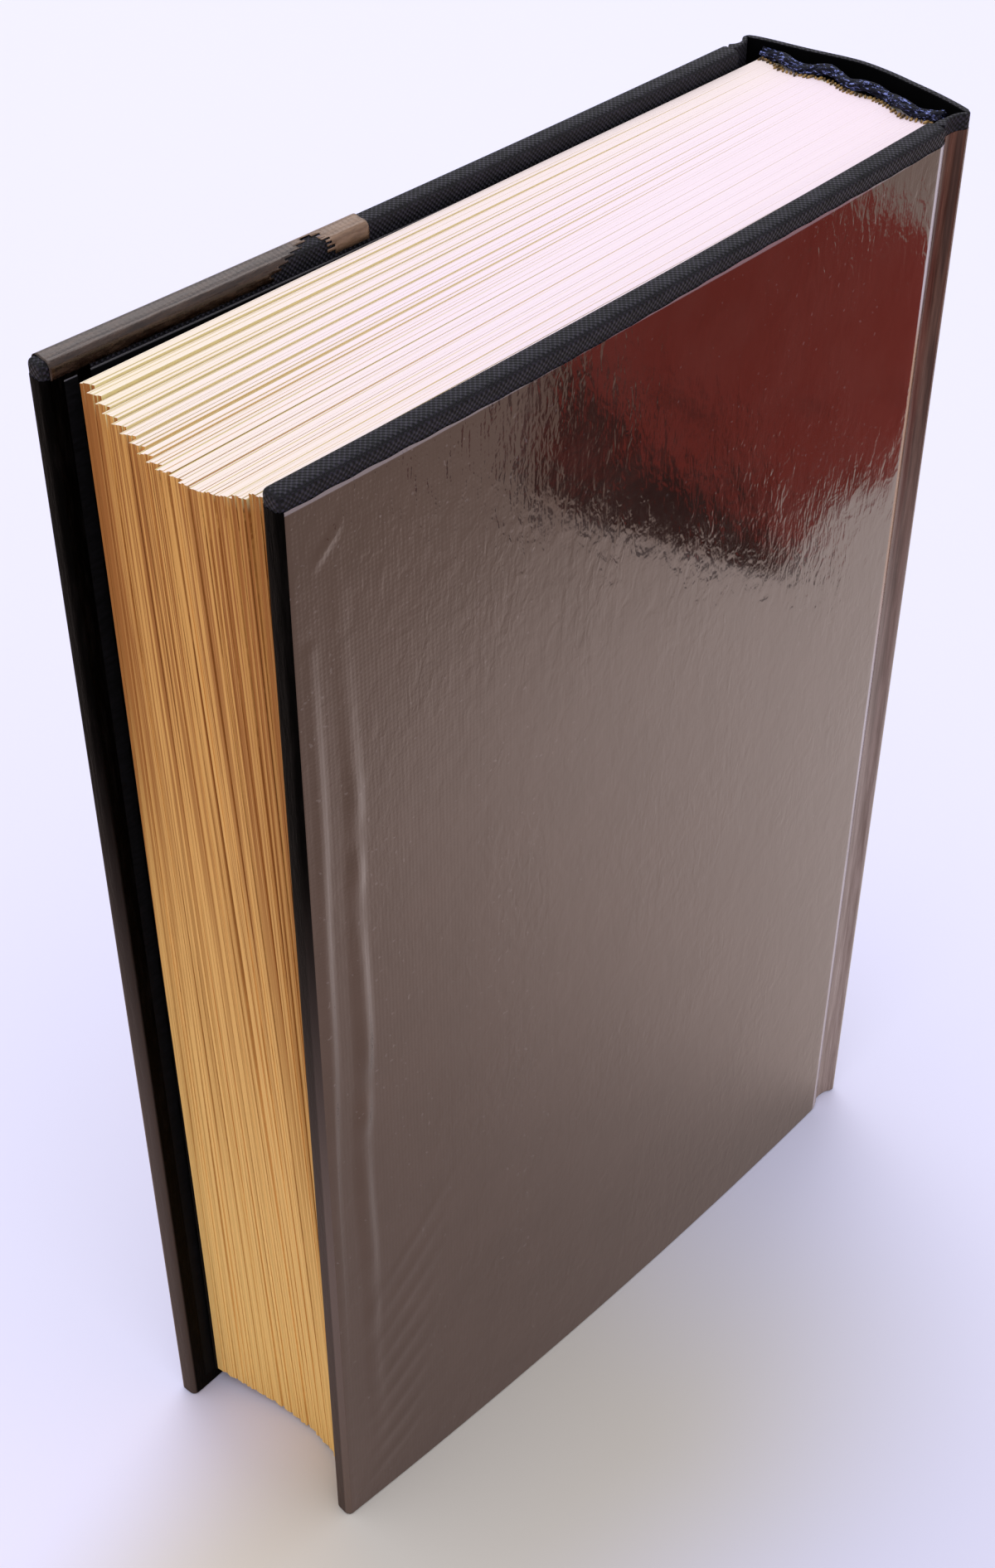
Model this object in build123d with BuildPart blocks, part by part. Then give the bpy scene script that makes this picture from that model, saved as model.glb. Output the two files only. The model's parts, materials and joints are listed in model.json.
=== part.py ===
"""Hardback book with a rounded spine, standing on its tail edge, millimetres, +Z up.

Construction frame: x runs from the covers' fore-edges (0) to the spine, y from the back cover
(negative) to the front cover (positive), with y = 0 in the middle of the spine, and z from the
tail (0) to the head. book_plane moves it so that the origin is the bottom centre of the book.
"""

from build123d import *
from math import asin, atan2, cos, degrees, pi, radians, sin, sqrt
import os

os.makedirs("parts", exist_ok=True)

# Overall sizes
book_height = 240.0
cover_width = 146.1        # fore-edge to hinge edge of a cover, straight across
book_width = 157.8         # covers' fore-edge to the crown of the spine
book_thickness = 46.9      # across both covers at their hinge edges

# Thicknesses of the sheets
board_thick = 3.0
cloth_thick = 0.4
film_thick = 0.1
paper_thick = 0.15
inlay_thick = 0.6
mull_thick = 0.4
lining_thick = 0.25

# Covers: how far each fore-edge stands off square, and how far its middle bows outwards
back_lean = -1.0
front_lean = 2.7
back_bow = 1.3
front_bow = 3.0
turn_in = 15.0             # cloth folded in over the edges
pastedown_margin = 3.5
film_turn_in = 8.0
film_head_drop = 2.8       # bare cloth between the film and the head
film_foot_gap = 0.3
head_flap_start = 1.6      # film folded over the front cover's head, from the fore-edge
head_flap_end = 65.0
head_flap_drop = 9.0
tear_start = 41.0
tear_end = 52.0

# Spine and joints
groove_radius = 2.2
groove_out = 0.73          # groove centre, outside the cover's outer face
shoulder_radius = 1.5
shoulder_inset = 0.4       # shoulder, inside the cover's outer face
groove_end = 160.0         # degrees round the groove where the joint cloth meets the cover
joint_clearance = 0.2

# Text block
sections = 17
block_gap = 0.3            # between a pastedown and the flyleaf at the hinge
square_fore = 3.0
square_foot = 4.3
square_head = 2.8
spine_set = 1.6            # back of the text block, beyond the hinge line
block_turn = 0.6           # degrees that the text block stands off square
foot_hollow = 5.0          # fore-edge of the middle sections, in at the tail
head_bulge = 3.9           # and out at the head
foot_dip = 3.3             # and down, because the block sags
head_dip = 3.0
bulge_skew = 0.716         # below 1 puts the fullest section nearer the back cover
head_round = 0.5
back_clearance = 0.45
band_radius = 1.1
headband_set = 0.6         # beads' centres, out from the back of the pages
tailband_set = -0.6

# Depths of the layers of a cover, in from the outer face
cloth_depth = film_thick
board_depth = cloth_depth + cloth_thick
fold_depth = board_depth + board_thick
paste_depth = fold_depth + cloth_thick
flap_depth = paste_depth + paper_thick
cover_depth = flap_depth + film_thick

half_thick = book_thickness / 2
film_foot = film_foot_gap
film_head = book_height - film_head_drop

# Joint grooves: the hinge line is the groove's centre
hinge_x = cover_width + joint_clearance + film_thick + cloth_thick + groove_radius
hinge_y = half_thick + groove_out

# Shoulders and crown of the spine, tangent to each other and to the grooves
shoulder_y = half_thick - shoulder_inset - shoulder_radius
shoulder_x = hinge_x + sqrt((groove_radius + shoulder_radius) ** 2 - (hinge_y - shoulder_y) ** 2)
crown_run = book_width - shoulder_x
crown_radius = (crown_run ** 2 + shoulder_y ** 2 - shoulder_radius ** 2) / (
    2 * (crown_run - shoulder_radius)
)
crown_x = book_width - crown_radius
crown_angle = degrees(atan2(shoulder_y, shoulder_x - crown_x))
groove_angle = degrees(atan2(hinge_y - shoulder_y, shoulder_x - hinge_x))


class Cover:
    """Outer face of a cover: an arc through its two edges, bowed outwards."""

    def __init__(self, side, lean, bow):
        fore = Vector(0, side * (half_thick + lean))
        hinge = Vector(cover_width, side * half_thick)
        chord = hinge - fore
        self.radius = (chord.length ** 2 / 4 + bow ** 2) / (2 * bow)
        inwards = Vector(chord.Y, -chord.X).normalized() * side
        self.centre = (fore + hinge) * 0.5 + inwards * (self.radius - bow)
        start = fore - self.centre
        self.start = atan2(start.Y, start.X)
        self.turn = -side / self.radius
        self.length = 2 * self.radius * asin(chord.length / 2 / self.radius)
        self.reach = self.centre.Y + side * self.radius

    def at(self, along, depth):
        """Point a distance along from the fore-edge and a depth in from the outer face."""
        angle = self.start + self.turn * along
        radius = self.radius - depth
        return (self.centre.X + radius * cos(angle), self.centre.Y + radius * sin(angle))


front = Cover(1, front_lean, front_bow)
back = Cover(-1, back_lean, back_bow)

# Text block: its own plane lies at the back corner of its spine, turned slightly
block_y = half_thick - cover_depth - block_gap
leaf_width = hinge_x + spine_set - square_fore
block_thick = 2 * (block_y - paper_thick)
section_thick = block_thick / sections
block_foot = square_foot
block_head = book_height - square_head
lining_room = film_thick + 2 * cloth_thick + inlay_thick + mull_thick + lining_thick
foot_round = book_width - lining_room - back_clearance - hinge_x - spine_set

# The origin is the bottom centre of the whole book
fore_reach = square_fore - head_bulge
centre_x = (book_width + fore_reach) / 2
centre_y = (front.reach + back.reach) / 2
book_plane = Plane(origin=(-centre_x, -centre_y, 0))
block_plane = Plane(
    origin=(hinge_x + spine_set - centre_x, paper_thick - block_y - centre_y, 0),
    x_dir=(cos(radians(block_turn)), -sin(radians(block_turn)), 0),
    z_dir=(0, 0, 1),
)
leaf_plane = Plane(
    origin=block_plane.origin,
    x_dir=block_plane.x_dir,
    z_dir=-block_plane.y_dir,
)


def strip(cover, along, depth):
    """Plan of a layer of a cover, between two distances along and two depths."""
    start, end = along
    outer, inner = depth
    middle = (start + end) / 2
    with BuildSketch() as layer:
        with BuildLine():
            ThreePointArc(cover.at(start, outer), cover.at(middle, outer), cover.at(end, outer))
            Line(cover.at(end, outer), cover.at(end, inner))
            ThreePointArc(cover.at(end, inner), cover.at(middle, inner), cover.at(start, inner))
            Line(cover.at(start, inner), cover.at(start, outer))
        make_face()
    return layer.sketch


def crown_strip(outer, inner):
    """Plan of a layer of the spine between its shoulders."""
    with BuildSketch() as layer:
        with BuildLine():
            far = CenterArc((crown_x, 0), crown_radius - outer, -crown_angle, 2 * crown_angle)
            near = CenterArc((crown_x, 0), crown_radius - inner, -crown_angle, 2 * crown_angle)
            Line(far @ 0, near @ 0)
            Line(far @ 1, near @ 1)
        make_face()
    return layer.sketch


def spine_strip(outer, inner):
    """Plan of a layer of the spine and both its joints, from cover to cover."""
    ends = []
    with BuildSketch() as layer:
        with BuildLine():
            for depth in (outer, inner):
                CenterArc((crown_x, 0), crown_radius - depth, -crown_angle, 2 * crown_angle)
                for side in (1, -1):
                    shoulder = CenterArc(
                        (shoulder_x, side * shoulder_y),
                        shoulder_radius - depth,
                        side * crown_angle,
                        side * (180 - groove_angle - crown_angle),
                    )
                    groove = CenterArc(
                        (hinge_x, side * hinge_y),
                        groove_radius + depth,
                        -side * groove_angle,
                        -side * (groove_end - groove_angle),
                    )
                    ends.append(groove @ 1)
            Line(ends[0], ends[2])
            Line(ends[1], ends[3])
        make_face()
    return layer.sketch


def back_outline(bulge, near, far):
    """Plan of a layer on the back of the text block, near and far from it."""
    with BuildSketch() as layer:
        with BuildLine():
            first = ThreePointArc((near, 0), (near + bulge, block_thick / 2), (near, block_thick))
            second = ThreePointArc((far, 0), (far + bulge, block_thick / 2), (far, block_thick))
            Line(first @ 0, second @ 0)
            Line(first @ 1, second @ 1)
        make_face()
    return layer.sketch


# Pages: sewn sections, each cut square and slid forward on its neighbour
with BuildPart() as pages:
    for number in range(sections):
        share = (number + 0.5) / sections
        slide = sin(pi * share ** bulge_skew)
        with BuildSketch(leaf_plane.offset(-number * section_thick)):
            with BuildLine():
                Polyline(
                    (-leaf_width + foot_hollow * slide, block_foot - foot_dip * slide),
                    (0, block_foot),
                    (2 * foot_round, block_foot),
                    (2 * foot_round, block_head),
                    (0, block_head),
                    (-leaf_width - head_bulge * slide, block_head - head_dip * slide),
                    close=True,
                )
            make_face()
        extrude(amount=-section_thick)
    # The back, rounded at the tail and almost flat at the head
    with BuildSketch(block_plane.offset(block_foot)):
        add(back_outline(foot_round, 0, 3 * foot_round))
    with BuildSketch(block_plane.offset(block_head)):
        add(back_outline(head_round, 0, 3 * foot_round))
    loft(mode=Mode.SUBTRACT)
pages.part.label = "pages"
export_step(pages.part, "parts/pages.step")

# Flyleaves: the free halves of the endpapers, on each side of the pages
with BuildPart() as back_flyleaf:
    with BuildSketch(leaf_plane):
        with BuildLine():
            Polyline(
                (-leaf_width, block_foot), (0, block_foot), (0, block_head), (-leaf_width, block_head),
                close=True,
            )
        make_face()
    extrude(amount=paper_thick)
back_flyleaf.part.label = "back_flyleaf"
export_step(back_flyleaf.part, "parts/back_flyleaf.step")

with BuildPart() as front_flyleaf:
    with BuildSketch(leaf_plane.offset(-block_thick)):
        with BuildLine():
            Polyline(
                (-leaf_width, block_foot), (0, block_foot), (0, block_head), (-leaf_width, block_head),
                close=True,
            )
        make_face()
    extrude(amount=-paper_thick)
front_flyleaf.part.label = "front_flyleaf"
export_step(front_flyleaf.part, "parts/front_flyleaf.step")

# Mull: the gauze glued over the backs of the sections
with BuildPart() as spine_mull:
    with BuildSketch(block_plane.offset(block_foot)):
        add(back_outline(foot_round, 0, mull_thick))
    with BuildSketch(block_plane.offset(block_head)):
        add(back_outline(head_round, 0, mull_thick))
    loft()
spine_mull.part.label = "spine_mull"
export_step(spine_mull.part, "parts/spine_mull.step")

# Lining: the paper glued over the mull
with BuildPart() as spine_lining:
    with BuildSketch(block_plane.offset(block_foot)):
        add(back_outline(foot_round, mull_thick, mull_thick + lining_thick))
    with BuildSketch(block_plane.offset(block_head)):
        add(back_outline(head_round, mull_thick, mull_thick + lining_thick))
    loft()
spine_lining.part.label = "spine_lining"
export_step(spine_lining.part, "parts/spine_lining.step")

# Headband and tailband: round silk beads along both ends of the spine
with BuildPart() as headband:
    with BuildLine(block_plane.offset(block_head + band_radius)) as head_edge:
        ThreePointArc(
            (headband_set, 0),
            (headband_set + head_round, block_thick / 2),
            (headband_set, block_thick),
        )
    with BuildSketch(Plane(origin=head_edge.line @ 0, z_dir=head_edge.line % 0)):
        Circle(band_radius)
    sweep(path=head_edge.line)
headband.part.label = "headband"
export_step(headband.part, "parts/headband.step")

with BuildPart() as tailband:
    with BuildLine(block_plane.offset(block_foot - band_radius)) as foot_edge:
        ThreePointArc(
            (tailband_set, 0),
            (tailband_set + foot_round, block_thick / 2),
            (tailband_set, block_thick),
        )
    with BuildSketch(Plane(origin=foot_edge.line @ 0, z_dir=foot_edge.line % 0)):
        Circle(band_radius)
    sweep(path=foot_edge.line)
tailband.part.label = "tailband"
export_step(tailband.part, "parts/tailband.step")

# Spine inlay: the card that stiffens the cloth of the spine
with BuildPart() as spine_inlay:
    with BuildSketch(book_plane.offset(cloth_thick)):
        add(crown_strip(board_depth, board_depth + inlay_thick))
    extrude(amount=book_height - 2 * cloth_thick)
spine_inlay.part.label = "spine_inlay"
export_step(spine_inlay.part, "parts/spine_inlay.step")

# Spine cloth: the sheet over the spine and joints, folded in over the card's ends
with BuildPart() as spine_cloth:
    with BuildSketch(book_plane):
        add(spine_strip(cloth_depth, board_depth))
    extrude(amount=book_height)
    for foot in (0, book_height - turn_in):
        with BuildSketch(book_plane.offset(foot)):
            add(crown_strip(board_depth + inlay_thick, board_depth + inlay_thick + cloth_thick))
        extrude(amount=turn_in)
    for foot in (0, book_height - cloth_thick):
        with BuildSketch(book_plane.offset(foot)):
            add(crown_strip(board_depth, board_depth + inlay_thick))
        extrude(amount=cloth_thick)
spine_cloth.part.label = "spine_cloth"
export_step(spine_cloth.part, "parts/spine_cloth.step")

# Spine film: clear self-adhesive film over the spine and joints
with BuildPart() as spine_film:
    with BuildSketch(book_plane.offset(film_foot)):
        add(spine_strip(0, film_thick))
    extrude(amount=film_head - film_foot)
spine_film.part.label = "spine_film"
export_step(spine_film.part, "parts/spine_film.step")

# Boards: millboard, bowed outwards
with BuildPart() as front_board:
    with BuildSketch(book_plane.offset(cloth_thick)):
        add(strip(front, (board_depth, front.length), (board_depth, fold_depth)))
    extrude(amount=book_height - 2 * cloth_thick)
front_board.part.label = "front_board"
export_step(front_board.part, "parts/front_board.step")

with BuildPart() as back_board:
    with BuildSketch(book_plane.offset(cloth_thick)):
        add(strip(back, (board_depth, back.length), (board_depth, fold_depth)))
    extrude(amount=book_height - 2 * cloth_thick)
back_board.part.label = "back_board"
export_step(back_board.part, "parts/back_board.step")

# Cover cloth: over each board's outer face, folded round three edges and glued inside
with BuildPart() as front_cloth:
    with BuildSketch(book_plane):
        add(strip(front, (cloth_depth, front.length), (cloth_depth, paste_depth)))
    extrude(amount=book_height)
    with BuildSketch(book_plane.offset(cloth_thick)):
        add(strip(front, (board_depth, front.length), (board_depth, fold_depth)))
    extrude(amount=book_height - 2 * cloth_thick, mode=Mode.SUBTRACT)
    with BuildSketch(book_plane.offset(turn_in)):
        add(strip(front, (turn_in, front.length), (fold_depth, paste_depth)))
    extrude(amount=book_height - 2 * turn_in, mode=Mode.SUBTRACT)
front_cloth.part.label = "front_cloth"
export_step(front_cloth.part, "parts/front_cloth.step")

with BuildPart() as back_cloth:
    with BuildSketch(book_plane):
        add(strip(back, (cloth_depth, back.length), (cloth_depth, paste_depth)))
    extrude(amount=book_height)
    with BuildSketch(book_plane.offset(cloth_thick)):
        add(strip(back, (board_depth, back.length), (board_depth, fold_depth)))
    extrude(amount=book_height - 2 * cloth_thick, mode=Mode.SUBTRACT)
    with BuildSketch(book_plane.offset(turn_in)):
        add(strip(back, (turn_in, back.length), (fold_depth, paste_depth)))
    extrude(amount=book_height - 2 * turn_in, mode=Mode.SUBTRACT)
back_cloth.part.label = "back_cloth"
export_step(back_cloth.part, "parts/back_cloth.step")

# Pastedowns: the glued halves of the endpapers, with the filler between the turn-ins
with BuildPart() as front_pastedown:
    with BuildSketch(book_plane.offset(turn_in)):
        add(strip(front, (turn_in, front.length), (fold_depth, paste_depth)))
    extrude(amount=book_height - 2 * turn_in)
    with BuildSketch(book_plane.offset(pastedown_margin)):
        add(strip(front, (pastedown_margin, front.length), (paste_depth, flap_depth)))
    extrude(amount=book_height - 2 * pastedown_margin)
front_pastedown.part.label = "front_pastedown"
export_step(front_pastedown.part, "parts/front_pastedown.step")

with BuildPart() as back_pastedown:
    with BuildSketch(book_plane.offset(turn_in)):
        add(strip(back, (turn_in, back.length), (fold_depth, paste_depth)))
    extrude(amount=book_height - 2 * turn_in)
    with BuildSketch(book_plane.offset(pastedown_margin)):
        add(strip(back, (pastedown_margin, back.length), (paste_depth, flap_depth)))
    extrude(amount=book_height - 2 * pastedown_margin)
back_pastedown.part.label = "back_pastedown"
export_step(back_pastedown.part, "parts/back_pastedown.step")

# Cover films: clear film over the outer face, folded in round the fore-edge
with BuildPart() as front_film:
    with BuildSketch(book_plane.offset(film_foot)):
        add(strip(front, (0, front.length), (0, film_thick)))
        add(strip(front, (0, film_thick), (0, cover_depth)))
        add(strip(front, (0, film_turn_in), (flap_depth, cover_depth)))
    extrude(amount=film_head - film_foot)
    # Part of the head edge was folded in too, and its fold is torn
    for start, end in ((head_flap_start, tear_start), (tear_end, head_flap_end)):
        with BuildSketch(book_plane.offset(film_head)):
            add(strip(front, (start, end), (0, film_thick)))
        extrude(amount=film_head_drop + film_thick)
        with BuildSketch(book_plane.offset(book_height)):
            add(strip(front, (start, end), (0, cover_depth)))
        extrude(amount=film_thick)
        with BuildSketch(book_plane.offset(book_height - head_flap_drop)):
            add(strip(front, (start, end), (flap_depth, cover_depth)))
        extrude(amount=head_flap_drop)
front_film.part.label = "front_film"
export_step(front_film.part, "parts/front_film.step")

with BuildPart() as back_film:
    with BuildSketch(book_plane.offset(film_foot)):
        add(strip(back, (0, back.length), (0, film_thick)))
        add(strip(back, (0, film_thick), (0, cover_depth)))
        add(strip(back, (0, film_turn_in), (flap_depth, cover_depth)))
    extrude(amount=film_head - film_foot)
back_film.part.label = "back_film"
export_step(back_film.part, "parts/back_film.step")

print("hinge lines", hinge_x - centre_x, hinge_y - centre_y, -hinge_y - centre_y)
print("tail edge of the back cover", [v for v in back.at(cover_width / 2, fold_depth / 2)])
print("crown radius", crown_radius, "tail rounding", foot_round, "section", section_thick)
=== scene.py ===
import json
from math import cos, pi, radians, sin, sqrt
from random import Random

import bpy
import numpy as np
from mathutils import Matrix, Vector


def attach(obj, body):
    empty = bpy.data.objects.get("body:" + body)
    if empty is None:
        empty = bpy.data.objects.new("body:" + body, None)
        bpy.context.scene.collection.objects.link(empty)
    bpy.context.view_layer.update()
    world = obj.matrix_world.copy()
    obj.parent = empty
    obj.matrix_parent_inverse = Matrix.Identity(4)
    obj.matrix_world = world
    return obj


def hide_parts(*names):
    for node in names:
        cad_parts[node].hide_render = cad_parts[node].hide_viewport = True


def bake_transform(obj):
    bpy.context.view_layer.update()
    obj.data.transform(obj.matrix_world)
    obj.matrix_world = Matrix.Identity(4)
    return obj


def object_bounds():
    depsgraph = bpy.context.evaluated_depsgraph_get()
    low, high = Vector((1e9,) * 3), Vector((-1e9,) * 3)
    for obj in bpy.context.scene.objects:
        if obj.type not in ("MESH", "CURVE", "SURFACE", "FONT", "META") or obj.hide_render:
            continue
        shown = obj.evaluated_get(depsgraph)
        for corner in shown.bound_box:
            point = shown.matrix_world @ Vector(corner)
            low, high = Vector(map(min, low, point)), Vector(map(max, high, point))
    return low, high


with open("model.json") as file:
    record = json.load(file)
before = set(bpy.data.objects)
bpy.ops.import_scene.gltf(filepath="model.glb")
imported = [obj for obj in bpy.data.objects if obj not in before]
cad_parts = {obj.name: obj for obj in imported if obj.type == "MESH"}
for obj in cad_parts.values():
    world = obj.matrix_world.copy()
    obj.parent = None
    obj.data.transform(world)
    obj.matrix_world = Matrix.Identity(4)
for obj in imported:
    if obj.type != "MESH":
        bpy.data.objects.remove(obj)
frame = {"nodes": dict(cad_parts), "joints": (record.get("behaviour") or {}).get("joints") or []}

cad_box = [[float(n) for n in corner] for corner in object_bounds()]

# ---------------------------------------------------------------------------
# Pages: seventeen sewn sections of cream book paper, trimmed and then slid over each other when
# the back was rounded. The fore-edge is painted orange-brown, partly toned paper and partly painted
# shade, as it faces away from the light; it is darker still beside the covers. The block sags
# towards the tail.
# ---------------------------------------------------------------------------
MM = 0.001
hinges = {joint["name"]: joint["pos_m"] for joint in frame["joints"]}
hinge_x, hinge_y = 149.0, 24.18       # hinge lines, in mm from the fore-edge and from the middle
origin_x = hinges["front_hinge"][0] / MM - hinge_x
origin_y = hinges["front_hinge"][1] / MM - hinge_y
book_height = (cad_box[1][2] - cad_box[0][2]) / MM - 0.1


def placed(x, y, z):
    """A point in metres, from mm measured from the fore-edge, the middle of the spine and the tail."""
    return ((x + origin_x) * MM, (y + origin_y) * MM, z * MM)


def let_go():
    """Nothing selected, and out of edit mode."""
    if bpy.context.object and bpy.context.object.mode != "OBJECT":
        bpy.ops.object.mode_set(mode="OBJECT")
    bpy.ops.object.select_all(action="DESELECT")


def box_of_stuff(name, low, high):
    """A block between two corners, in mm, ready to be cut and shaped."""
    let_go()
    centre = [(a + b) / 2 for a, b in zip(low, high)]
    bpy.ops.mesh.primitive_cube_add(size=1, location=centre)
    piece = bpy.context.object
    piece.name = piece.data.name = name
    piece.scale = [b - a for a, b in zip(low, high)]
    bpy.ops.object.transform_apply(location=True, rotation=True, scale=True)
    return piece


def score(piece, axis, places):
    """Cut a block right through at each place along an axis, so that it can bend there."""
    normal = [0, 0, 0]
    normal[axis] = 1
    let_go()
    piece.select_set(True)
    bpy.context.view_layer.objects.active = piece
    bpy.ops.object.mode_set(mode="EDIT")
    for place in places:
        point = [0, 0, 0]
        point[axis] = place
        bpy.ops.mesh.select_all(action="SELECT")
        bpy.ops.mesh.bisect(plane_co=point, plane_no=normal)
    bpy.ops.object.mode_set(mode="OBJECT")


def press(piece, kind, **settings):
    """Add one modifier with its settings and apply it."""
    let_go()
    piece.select_set(True)
    bpy.context.view_layer.objects.active = piece
    modifier = piece.modifiers.new(kind.title(), kind)
    for key, value in settings.items():
        setattr(modifier, key, value)
    bpy.ops.object.modifier_apply(modifier=modifier.name)


def face_out(piece, angle=40):
    """Faces turned outwards, and smooth except across sharp edges."""
    let_go()
    piece.select_set(True)
    bpy.context.view_layer.objects.active = piece
    bpy.ops.object.mode_set(mode="EDIT")
    bpy.ops.mesh.select_all(action="SELECT")
    bpy.ops.mesh.normals_make_consistent(inside=False)
    bpy.ops.object.mode_set(mode="OBJECT")
    bpy.ops.object.shade_smooth_by_angle(angle=radians(angle))


def join_up(name, pieces):
    """Several pieces made one."""
    let_go()
    for piece in pieces:
        piece.select_set(True)
    bpy.context.view_layer.objects.active = pieces[0]
    bpy.ops.object.join()
    pieces[0].name = pieces[0].data.name = name
    return pieces[0]


sections = 17
leaf_groups = 4                       # groups of leaves in a section
block_thick = 37.7
section_thick = block_thick / sections
leaf_width = 147.6
block_foot, block_head = 4.3, 237.2
block_height = block_head - block_foot
foot_round, head_round = 4.6, 0.5     # how far the rounded back stands out
foot_hollow, head_bulge = 5.0, 3.9    # fullest sections' fore-edge, in at the tail and out at the head
foot_dip, head_dip = 3.3, 3.0         # and how far it sags
bulge_skew = 0.716                    # below 1 puts the fullest section nearer the back cover
far_rise = 0.8                        # the last sections stand this much higher at the head
block_turn = radians(0.6)
block_x, block_y = 150.6, -18.85


def in_block(along, across, up):
    """A point of the text block: along from its back (fore-edge negative), across from its near side."""
    return placed(
        block_x + along * cos(block_turn) + across * sin(block_turn),
        block_y - along * sin(block_turn) + across * cos(block_turn),
        up,
    )


def back_round(across, up):
    """How far the rounded back stands out, most at the tail."""
    share = (up - block_foot) / block_height
    bulge = foot_round + (head_round - foot_round) * share
    return bulge * (1 - (2 * across / block_thick - 1) ** 2)


def spread(across, out, rise):
    """How far the loose leaves lean towards the back cover, most at mid-height.

    At the head the last ones fan the other way.
    """
    far = min(max(across / block_thick, 0), 1)
    near_lean = (1 - far) ** 1.5 * (1 - out) * max(sin(pi * rise), 0) ** 0.7
    return near_lean - 0.5 * far ** 2 * max(rise, 0) ** 2 * max(1 - out, 0) ** 0.6


draw = Random(7)
groups = []
group_thick = section_thick / leaf_groups
blank = box_of_stuff("leaves", (0, 0, 0), (1, 1, 1))
score(blank, 0, [0.03, 0.3, 0.65])
score(blank, 2, [0.12, 0.25, 0.38, 0.5, 0.62, 0.74, 0.86, 0.97])
for section in range(sections):
    slide = sin(pi * ((section + 0.5) / sections) ** bulge_skew)
    section_step = draw.uniform(-0.15, 0.15)
    for group in range(leaf_groups):
        leaves = blank.copy()
        leaves.data = blank.data.copy()
        bpy.context.scene.collection.objects.link(leaves)
        outermost = group in (0, leaf_groups - 1)
        jut = draw.uniform(-0.10, 0.10) + (0.22 if group == 0 else 0)
        top_step = draw.uniform(-0.14, 0.0) - (draw.uniform(0.0, 0.3) if outermost else 0)
        sway = [draw.uniform(-0.05, 0.05) for _ in range(4)]
        thick = group_thick * (draw.uniform(0.90, 0.985) if outermost else draw.uniform(0.97, 1.0))
        for vertex in leaves.data.vertices:
            out, deep, rise = vertex.co.x, vertex.co.y, vertex.co.z
            tilt = (0.5 - (group + deep) / leaf_groups) * (0.75 if section > 6 else 0.35) + section_step
            at_foot = foot_hollow * slide + tilt * 0.5 + jut
            at_head = tilt + jut - head_bulge * slide
            fore = -leaf_width + at_foot * (1 - rise) + at_head * rise
            fore += 2.4 * sway[3] * sin(3 * pi * rise)
            low = block_foot - foot_dip * slide * (1 - out)
            top = top_step - head_dip * slide + far_rise * (section / sections) ** 2
            high = block_head + top * (1 - out)
            up = low + (high - low) * rise
            swollen = thick + (group_thick - thick) * min(out * 2.2, 1.0)
            across = section * section_thick + (group + 0.5) * group_thick + (deep - 0.5) * swollen
            across += (1 - out) * (sway[0] * rise + sway[1] * sin(pi * rise) + sway[2] * sin(2 * pi * rise))
            back = back_round(across, up) - 0.02
            across -= spread(across, out, rise)
            vertex.co = in_block(fore + (back - fore) * out, across, up)
        groups.append(leaves)
bpy.data.objects.remove(blank)
pages = join_up("pages", groups)
press(pages, "BEVEL", width=0.02 * MM, segments=1, limit_method="ANGLE", angle_limit=radians(60))
face_out(pages, 35)


class Wire:
    """A number running between nodes, which can be used in sums."""

    def __init__(self, finish, socket):
        self.finish, self.socket = finish, socket

    def sum(self, operation, *values):
        return self.finish.node("ShaderNodeMath", dict(enumerate(values)), {"operation": operation})

    def __add__(self, other): return self.sum("ADD", self, other)
    def __radd__(self, other): return self.sum("ADD", other, self)
    def __sub__(self, other): return self.sum("SUBTRACT", self, other)
    def __rsub__(self, other): return self.sum("SUBTRACT", other, self)
    def __mul__(self, other): return self.sum("MULTIPLY", self, other)
    def __rmul__(self, other): return self.sum("MULTIPLY", other, self)
    def __truediv__(self, other): return self.sum("DIVIDE", self, other)
    def sine(self): return self.sum("SINE", self)
    def part(self): return self.sum("FRACT", self)
    def size(self): return self.sum("ABSOLUTE", self)
    def top(self, other): return self.sum("MAXIMUM", self, other)
    def least(self, other): return self.sum("MINIMUM", self, other)

    def rise(self, low, high):
        """0 below low, 1 above high, and smooth between them."""
        settings = {"interpolation_type": "SMOOTHSTEP", "clamp": True}
        values = {"Value": self, "From Min": low, "From Max": high, "To Min": 0.0, "To Max": 1.0}
        return self.finish.node("ShaderNodeMapRange", values, settings)


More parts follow.
